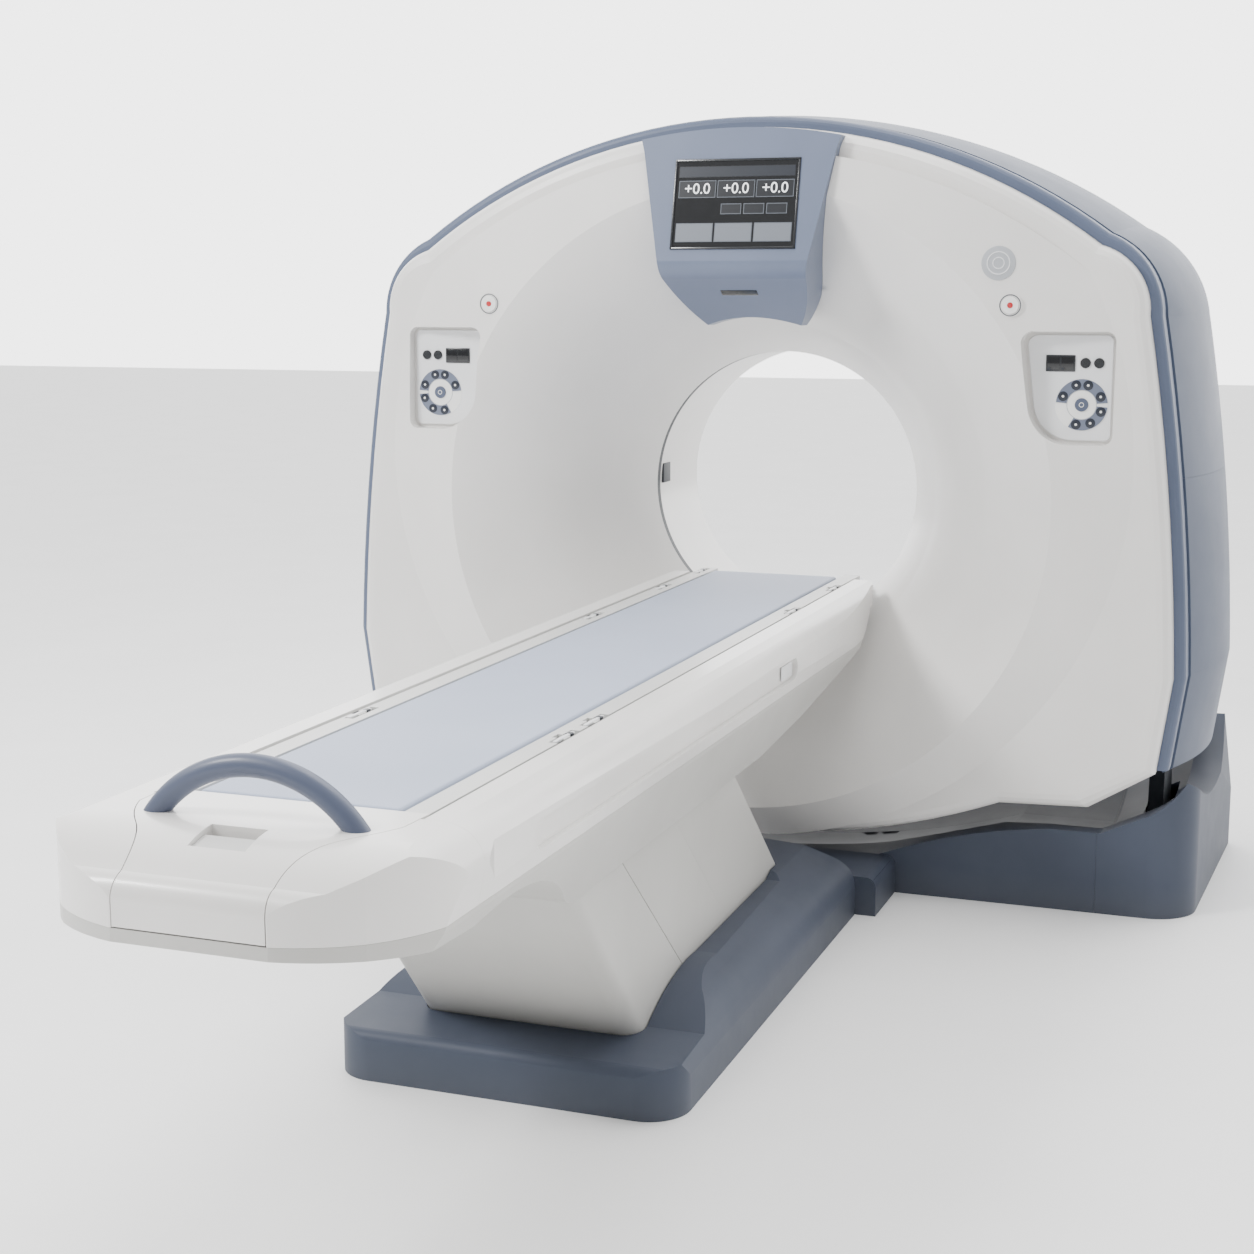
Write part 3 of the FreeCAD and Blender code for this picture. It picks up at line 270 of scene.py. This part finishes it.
def place(name, material, body, angle=30.0):
    """Names the active piece, settles its transform, smooths it and puts it on a body."""
    piece = bpy.context.active_object
    piece.name = name
    bpy.ops.object.transform_apply(location=True, rotation=True, scale=True)
    bpy.ops.object.mode_set(mode="EDIT")
    bpy.ops.mesh.select_all(action="SELECT")
    bpy.ops.mesh.normals_make_consistent(inside=False)
    bpy.ops.object.mode_set(mode="OBJECT")
    bpy.ops.object.shade_smooth_by_angle(angle=math.radians(angle))
    piece.data.materials.clear()
    piece.data.materials.append(material)
    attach(piece, body)
    return piece


pad_cloth = coated_cloth("coated pad cloth", "98A3BB", "A2ADC4")
pad_low, pad_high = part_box("mattress")
bpy.ops.object.select_all(action="DESELECT")
bpy.ops.mesh.primitive_cube_add(size=1, location=[(a + b) / 2 for a, b in zip(pad_low, pad_high)])
bpy.context.active_object.scale = [b - a - gap for a, b, gap in zip(pad_low, pad_high, PAD_MARGIN)]
bpy.ops.object.transform_apply(location=False, rotation=False, scale=True)
modified("BEVEL", width=PAD_EDGE, segments=3)
bpy.ops.object.mode_set(mode="EDIT")
bpy.ops.mesh.select_all(action="SELECT")
bpy.ops.mesh.subdivide(number_cuts=5)
bpy.ops.mesh.subdivide(number_cuts=3)
bpy.ops.object.mode_set(mode="OBJECT")
foam_rise = bpy.data.textures.new("foam crown", type="CLOUDS")
foam_rise.noise_scale = 0.35
modified("DISPLACE", texture=foam_rise, strength=0.0012, mid_level=0.5, direction="Z",
         texture_coords="LOCAL")
modified("SUBSURF", levels=1)
pad = place("mattress_pad", pad_cloth, "couch_top", 60.0)
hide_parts("mattress")


# ---------------- couch: strap clips and side windows ----------------

# Strap clips of white plastic with a dark catch sit in the slots of both rails. A small white
# window closes the gantry end of each side cover's long recess.
CLIP_X = 0.226
CLIP_DROP = 0.006           # middle of a clip below the rail's top
CLIP_PLACES = {"left": (-2.219, -0.977, -0.446, -0.110), "right": (-2.276, -2.124, -0.726, -0.306)}
WINDOW_PLACE = (-1.150, 0.742)
WINDOW_SIZE = (0.003, 0.090, 0.034)
WINDOW_IN = 0.0150          # window behind the cover's widest line

film_white = moulded("satin white panel film", "E1E2E4", "E8E9EA", rough=0.35, coat=0.2, grain=FINE_GRAIN)
key_navy = moulded("satin navy key film", "161B28", "1C2231", rough=0.35, coat=0.3, grain=FINE_GRAIN)


def tile(name, material, body, centre, size, turn=(0, 0, 0), round_by=0.001, steps=3):
    """Rounded block of that size."""
    bpy.ops.object.select_all(action="DESELECT")
    bpy.ops.mesh.primitive_cube_add(size=1, location=centre, rotation=turn)
    bpy.context.active_object.scale = size
    bpy.ops.object.transform_apply(location=False, rotation=False, scale=True)
    modified("BEVEL", width=round_by, segments=steps, limit_method="ANGLE")
    return place(name, material, body)


def merged(name, pieces, body):
    """Joins several small pieces with their materials into one."""
    bpy.ops.object.select_all(action="DESELECT")
    for piece in pieces:
        piece.select_set(True)
    bpy.context.view_layer.objects.active = pieces[0]
    bpy.ops.object.join()
    whole = bpy.context.active_object
    whole.name = name
    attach(whole, body)


clip_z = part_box("rail_right")[1][2] - CLIP_DROP
for side, word in ((1, "right"), (-1, "left")):
    clips = []
    for y in CLIP_PLACES[word]:
        clips.append(tile("foot", rail_plastic, "couch_top", (side * CLIP_X, y, clip_z),
                          (0.016, 0.030, 0.010), round_by=0.002))
        clips.append(tile("bar", film_white, "couch_top", (side * CLIP_X, y, clip_z + 0.004),
                          (0.008, 0.092, 0.005), round_by=0.0016))
        clips.append(tile("catch", key_navy, "couch_top", (side * CLIP_X, y + 0.030, clip_z + 0.004),
                          (0.012, 0.014, 0.006), round_by=0.0016))
    merged("rail_clips_" + word, clips, "couch_top")
    low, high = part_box("couch_%s_cover" % word)
    edge = high[0] if side > 0 else low[0]
    tile("side_window_" + word, film_white, "couch", (edge - side * WINDOW_IN, *WINDOW_PLACE),
         WINDOW_SIZE)


# ---------------- gantry: laser window ----------------

# One pane on the left wall of the tunnel, behind the dark ring, for the positioning laser.
low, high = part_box("xray_window")
tile("laser_window", window_film, "gantry", (low[0] + 0.0085, high[1] + 0.044, 1.085),
     (0.008, 0.062, 0.058), round_by=0.0018)


# ---------------- display pod ----------------

# A smoked glass screen in a black bezel leans back with the pod's face. It shows a title strip,
# three number boxes, three small tabs and three soft keys, and a microphone slot is below it.
LEAN = math.atan2(0.078, 0.352)
SCREEN_MIDDLE = (-0.519, 1.846)
SCREEN_PROUD = 0.0015       # lit fields stand this far off the glass
FIELD_T = 0.0006
FIELD_LINE = 0.004          # outline, both sides together
FIGURE_V = 0.040

black_plastic = moulded("gloss black key plastic", "16181C", "1D2025", rough=0.25, coat=0.5,
                        grain=FINE_GRAIN)


def smoked_glass(name, tint):
    """Smoked display glass with faint smears."""
    m = new_material(name)
    where = node(m, "ShaderNodeTexCoord").outputs["Object"]
    smear = node(m, "ShaderNodeTexNoise", {"Vector": where}, Scale=35.0, Detail=6.0)
    shader = node(m, "ShaderNodeBsdfPrincipled", {"Roughness": spread(m, smear.outputs["Fac"], 0.08, 0.20)},
                  Base_Color=colour(tint))
    shader.inputs["Coat Weight"].default_value = 0.6
    return finish_material(m, shader)


def lit(name, tint, strength):
    """Lit part of the display: a flat colour that glows, behind glass with a fine pixel grid."""
    m = new_material(name)
    where = node(m, "ShaderNodeTexCoord").outputs["Object"]
    grid = node(m, "ShaderNodeTexVoronoi", {"Vector": where}, Scale=1400.0)
    gloss = spread(m, grid.outputs["Distance"], 0.27, 0.33)
    shader = node(m, "ShaderNodeBsdfPrincipled", {"Roughness": gloss}, Base_Color=colour(tint),
                  Emission_Color=colour(tint))
    shader.inputs["Emission Strength"].default_value = strength
    return finish_material(m, shader)


screen_glass = smoked_glass("smoked display glass", "0B0D11")
dress(screen_glass, "display_screen")
field_dark = lit("display field dark", "14171D", 0.05)
field_title = lit("display title strip", "22262E", 0.1)
field_line = lit("display outline", "5B6068", 0.12)
field_key = lit("display soft key", "6F747C", 0.12)
field_white = lit("display figure white", "F2F4F6", 0.9)
fields = []


def on_face(u, v, out):
    """Point on the leaning pod face, u across and v up its slope from the screen's middle."""
    y, z = SCREEN_MIDDLE
    return (
        u,
        y + v * math.sin(LEAN) - out * math.cos(LEAN),
        z + v * math.cos(LEAN) + out * math.sin(LEAN),
    )


def screen_box(u, v, w, h, line, fill):
    """A lit field with an outline."""
    fields.append(tile("line", line, "gantry", on_face(u, v, SCREEN_PROUD), (w, FIELD_T, h),
                       (-LEAN, 0, 0), 0.0002, 1))
    fields.append(tile("fill", fill, "gantry", on_face(u, v, SCREEN_PROUD + FIELD_T / 2),
                       (w - FIELD_LINE, FIELD_T, h - FIELD_LINE), (-LEAN, 0, 0), 0.0002, 1))


screen_box(0, 0.086, 0.318, 0.030, field_dark, field_title)
for k in (-1, 0, 1):
    screen_box(k * 0.106, FIGURE_V, 0.102, 0.046, field_line, field_dark)
    screen_box(k * 0.107, -0.075, 0.102, 0.050, field_line, field_key)
for k in range(3):
    screen_box(-0.010 + k * 0.062, -0.013, 0.056, 0.028, field_line, field_dark)
for k in (-1, 0, 1):
    bpy.ops.object.select_all(action="DESELECT")
    bpy.ops.object.text_add(location=on_face(k * 0.106, FIGURE_V, SCREEN_PROUD + 0.0007),
                            rotation=(math.pi / 2 - LEAN, 0, 0))
    figure = bpy.context.active_object.data
    figure.body = "+0.0"
    figure.size = 0.040
    figure.extrude = 0.0002
    figure.align_x = "CENTER"
    figure.align_y = "CENTER"
    bpy.ops.object.convert(target="MESH")
    fields.append(place("figure", field_white, "gantry"))
merged("display_fields", fields, "gantry")

bezel = []
for k in (-1, 1):
    bezel.append(tile("post", black_plastic, "gantry", on_face(k * 0.1675, 0, 0.001),
                      (0.006, 0.006, 0.238), (-LEAN, 0, 0)))
    bezel.append(tile("bar", black_plastic, "gantry", on_face(0, k * 0.1165, 0.001),
                      (0.341, 0.006, 0.006), (-LEAN, 0, 0)))
merged("display_bezel", bezel, "gantry")


def seen(name, x, z, out=0.0):
    """Place on a CAD node's surface seen from the couch, and the turn that faces along its normal."""
    hit, where, normal, index = nodes[name].ray_cast((x, -3.0, z), (0, 1, 0))
    return tuple(where + normal * out), tuple(normal.to_track_quat("Z", "Y").to_euler())


slot_at, slot_turn = seen("display_pod", 0.0, 1.618)
tile("microphone_slot", black_plastic, "gantry", slot_at, (0.100, 0.024, 0.004), slot_turn, 0.0018)


# ---------------- gantry front: start buttons and speaker ----------------

# Each start button is a white cap with a red dot, in a graphite rim. A speaker disc with two
# raised rings is on the right only.
SPEAKER = (0.684, 1.692)

key_white = moulded("gloss white key plastic", "EDEDEB", "F3F3F1", rough=0.24, coat=0.6, grain=FINE_GRAIN)
key_red = moulded("gloss red key dot", "B3262B", "BC2C31", rough=0.25, coat=0.6, grain=FINE_GRAIN)
grille_grey = moulded("satin grey speaker grille", "A9ACB1", "B4B7BC", rough=0.45, coat=0.1,
                      grain=FINE_GRAIN)
rim_graphite = moulded("satin graphite ring", "4C5057", "54585F", rough=0.35, coat=0.2, grain=FINE_GRAIN)
dress(key_white, "start_button_left", "start_button_right")


def disc(name, material, body, centre, radius, depth, turn=(math.pi / 2, 0, 0), round_by=0.001):
    """Round button or cap facing along its turned Z axis."""
    bpy.ops.object.select_all(action="DESELECT")
    bpy.ops.mesh.primitive_cylinder_add(vertices=64, radius=radius, depth=depth, location=centre,
                                        rotation=turn)
    modified("BEVEL", width=round_by, segments=3, limit_method="ANGLE", angle_limit=math.radians(60))
    return place(name, material, body)


def hoop(name, material, body, centre, radius, tube, turn=(math.pi / 2, 0, 0)):
    """Round wire ring about its turned Z axis."""
    bpy.ops.object.select_all(action="DESELECT")
    bpy.ops.mesh.primitive_torus_add(major_radius=radius, minor_radius=tube, major_segments=96,
                                     minor_segments=12, location=centre, rotation=turn)
    return place(name, material, body, 60.0)


for word in ("left", "right"):
    low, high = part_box("start_button_" + word)
    mid_x, mid_z = (low[0] + high[0]) / 2, (low[2] + high[2]) / 2
    disc("start_dot_" + word, key_red, "start_" + word, (mid_x, low[1] - 0.0002, mid_z), 0.0075, 0.0016,
         round_by=0.0005)
    hoop("start_rim_" + word, rim_graphite, "gantry", (mid_x, low[1] + 0.0028, mid_z), 0.0262, 0.0014)

at, turned_to = seen("gantry_front_cover", *SPEAKER)
speaker = [disc("plate", grille_grey, "gantry", at, 0.043, 0.004, turned_to, 0.0015)]
at, turned_to = seen("gantry_front_cover", *SPEAKER, 0.002)
speaker.append(hoop("ring", film_white, "gantry", at, 0.028, 0.0016, turned_to))
speaker.append(hoop("ring", film_white, "gantry", at, 0.014, 0.0014, turned_to))
merged("speaker_disc", speaker, "gantry")


# ---------------- gantry front: control pockets ----------------

# Each pocket's panel is a white film over a plate, with two black keys, a twin display and a
# film keypad: two slate arcs of dark keys round the centre key, open towards the flare.
KEY_RING = 0.0515           # radius of the keys' circle
KEY_FILM = 0.027            # width of the film arcs
KEY_ANGLES = (24, 73, 107, 156, 199, 243, 284)
ARCS = ((5, 170), (185, 115))       # start and sweep in degrees on the left panel
PANE = (0.031, 0.0012, 0.032)

slate_film = moulded("satin slate key film", "5F677A", "6A7285", rough=0.4, coat=0.2, grain=FINE_GRAIN)
dress(film_white, "control_panel_left", "control_panel_right")
dress(black_plastic, "key_outer_left", "key_outer_right", "key_inner_left", "key_inner_right")
dress(slate_nylon, "key_centre_left", "key_centre_right")


def film_arc(centre, start, sweep):
    """Flat film strip bent round the centre from start through sweep degrees."""
    turn = math.radians(start)
    x, y, z = centre
    bpy.ops.object.select_all(action="DESELECT")
    bpy.ops.mesh.primitive_plane_add(
        size=1,
        location=(x + KEY_RING * math.cos(turn), y, z + KEY_RING * math.sin(turn)),
        rotation=(0, -turn, 0),
    )
    bpy.context.active_object.scale = (KEY_FILM, 0.0016, 1)
    bpy.ops.object.transform_apply(location=True, rotation=True, scale=True)
    bpy.ops.object.mode_set(mode="EDIT")
    bpy.ops.mesh.select_all(action="SELECT")
    bpy.ops.mesh.spin(steps=round(sweep / 4), angle=math.radians(sweep), center=centre, axis=(0, 1, 0))
    bpy.ops.mesh.select_all(action="SELECT")
    bpy.ops.mesh.remove_doubles(threshold=0.00002)
    bpy.ops.object.mode_set(mode="OBJECT")
    return place("arc", slate_film, "gantry")


for side, word in ((-1, "left"), (1, "right")):
    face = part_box("control_panel_" + word)[0][1]
    low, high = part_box("key_centre_" + word)
    x, z = (low[0] + high[0]) / 2, (low[2] + high[2]) / 2
    pad_of_keys = [disc("sheet", key_white, "gantry", (x, face - 0.0002, z), 0.0665, 0.0006,
                        round_by=0.0002)]
    pad_of_keys.append(hoop("line", grille_grey, "gantry", (x, face - 0.0006, z), 0.0370, 0.0008))
    for start, sweep in ARCS:
        first = start if side < 0 else 180 - start - sweep
        pad_of_keys.append(film_arc((x, face - 0.0012, z), first, sweep))
    for angle in KEY_ANGLES:
        turn = math.radians(angle if side < 0 else 180 - angle)
        px, pz = x + KEY_RING * math.cos(turn), z + KEY_RING * math.sin(turn)
        pad_of_keys.append(disc("key", key_navy, "gantry", (px, face - 0.0020, pz), 0.0125, 0.0022,
                                round_by=0.0008))
        pad_of_keys.append(disc("dot", key_white, "gantry", (px, face - 0.0032, pz), 0.0032, 0.0008,
                                round_by=0.0002))
    merged("ring_keypad_" + word, pad_of_keys, "gantry")
    hoop("centre_mark_" + word, key_white, "centre_key_" + word, (x, low[1] - 0.0001, z), 0.0055, 0.0009)

    shown_x, shown_z = x - side * 0.056, z + 0.104
    display = [tile("case", black_plastic, "gantry", (shown_x, face - 0.001, shown_z),
                    (0.074, 0.005, 0.042), round_by=0.002)]
    for k in (-1, 1):
        display.append(tile("pane", screen_glass, "gantry", (shown_x + k * 0.0175, face - 0.0036, shown_z),
                            PANE, round_by=0.0005))
    merged("pocket_display_" + word, display, "gantry")


# ---------------- floor, sky, lights and camera ----------------

# A pale studio floor under a soft sky that is brightest behind the machine, a large lamp at the
# front left, a weak one at the front right and one overhead.
bpy.ops.object.select_all(action="DESELECT")
bpy.ops.mesh.primitive_plane_add(size=60, location=(0, 0, 0))
floor = bpy.context.active_object
floor.name = "studio_floor"
floor.data.materials.append(moulded("pale studio floor", "F4F4F4", "F7F7F7", rough=0.6, coat=0.0))

world = bpy.data.worlds.new("studio")
world.use_nodes = True
sky = world.node_tree.nodes["Background"]
sky.inputs["Color"].default_value = colour("FFFFFF")
direction = node(world, "ShaderNodeTexCoord").outputs["Generated"]
facing = node(world, "ShaderNodeSeparateXYZ", {"Vector": direction})
behind = node(world, "ShaderNodeMapRange", {"Value": facing.outputs["Y"]})
behind.inputs["From Min"].default_value = 0.1
behind.inputs["From Max"].default_value = 0.75
behind.inputs["To Min"].default_value = 0.5
behind.inputs["To Max"].default_value = 4.2
above = node(world, "ShaderNodeMapRange", {"Value": facing.outputs["Z"]})
above.inputs["From Min"].default_value = 0.1
above.inputs["To Max"].default_value = 0.55
total = node(world, "ShaderNodeMath", {0: behind.outputs[0], 1: above.outputs[0]}, operation="ADD")
world.node_tree.links.new(total.outputs[0], sky.inputs["Strength"])
bpy.context.scene.world = world

AIM = (0, -0.8, 0.9)


def lamp(name, where, size, power):
    """Round soft lamp turned towards the machine."""
    bpy.ops.object.light_add(type="AREA", location=where)
    light = bpy.context.active_object
    light.name = name
    light.data.shape = "DISK"
    light.data.size = size
    light.data.energy = power
    dx, dy, dz = (AIM[i] - where[i] for i in range(3))
    light.rotation_euler = (math.atan2(math.hypot(dx, dy), -dz), 0, math.atan2(dy, dx) - math.pi / 2)


lamp("key_light", (-3.8, -4.6, 4.8), 1.8, 400)
lamp("fill_light", (4.6, -4.4, 3.0), 3.4, 25)
lamp("top_light", (0.5, -0.8, 5.6), 3.0, 150)

camera_data = bpy.data.cameras.new("photo_camera")
camera = bpy.data.objects.new("photo_camera", camera_data)
bpy.context.scene.collection.objects.link(camera)
camera.location = (1.585, -5.610, 1.631)
camera.rotation_euler = (math.radians(80.37), 0, math.radians(20.32))
camera_data.lens = 57.42
camera_data.sensor_width = 36.0
camera_data.dof.use_dof = False
bpy.context.scene.camera = camera
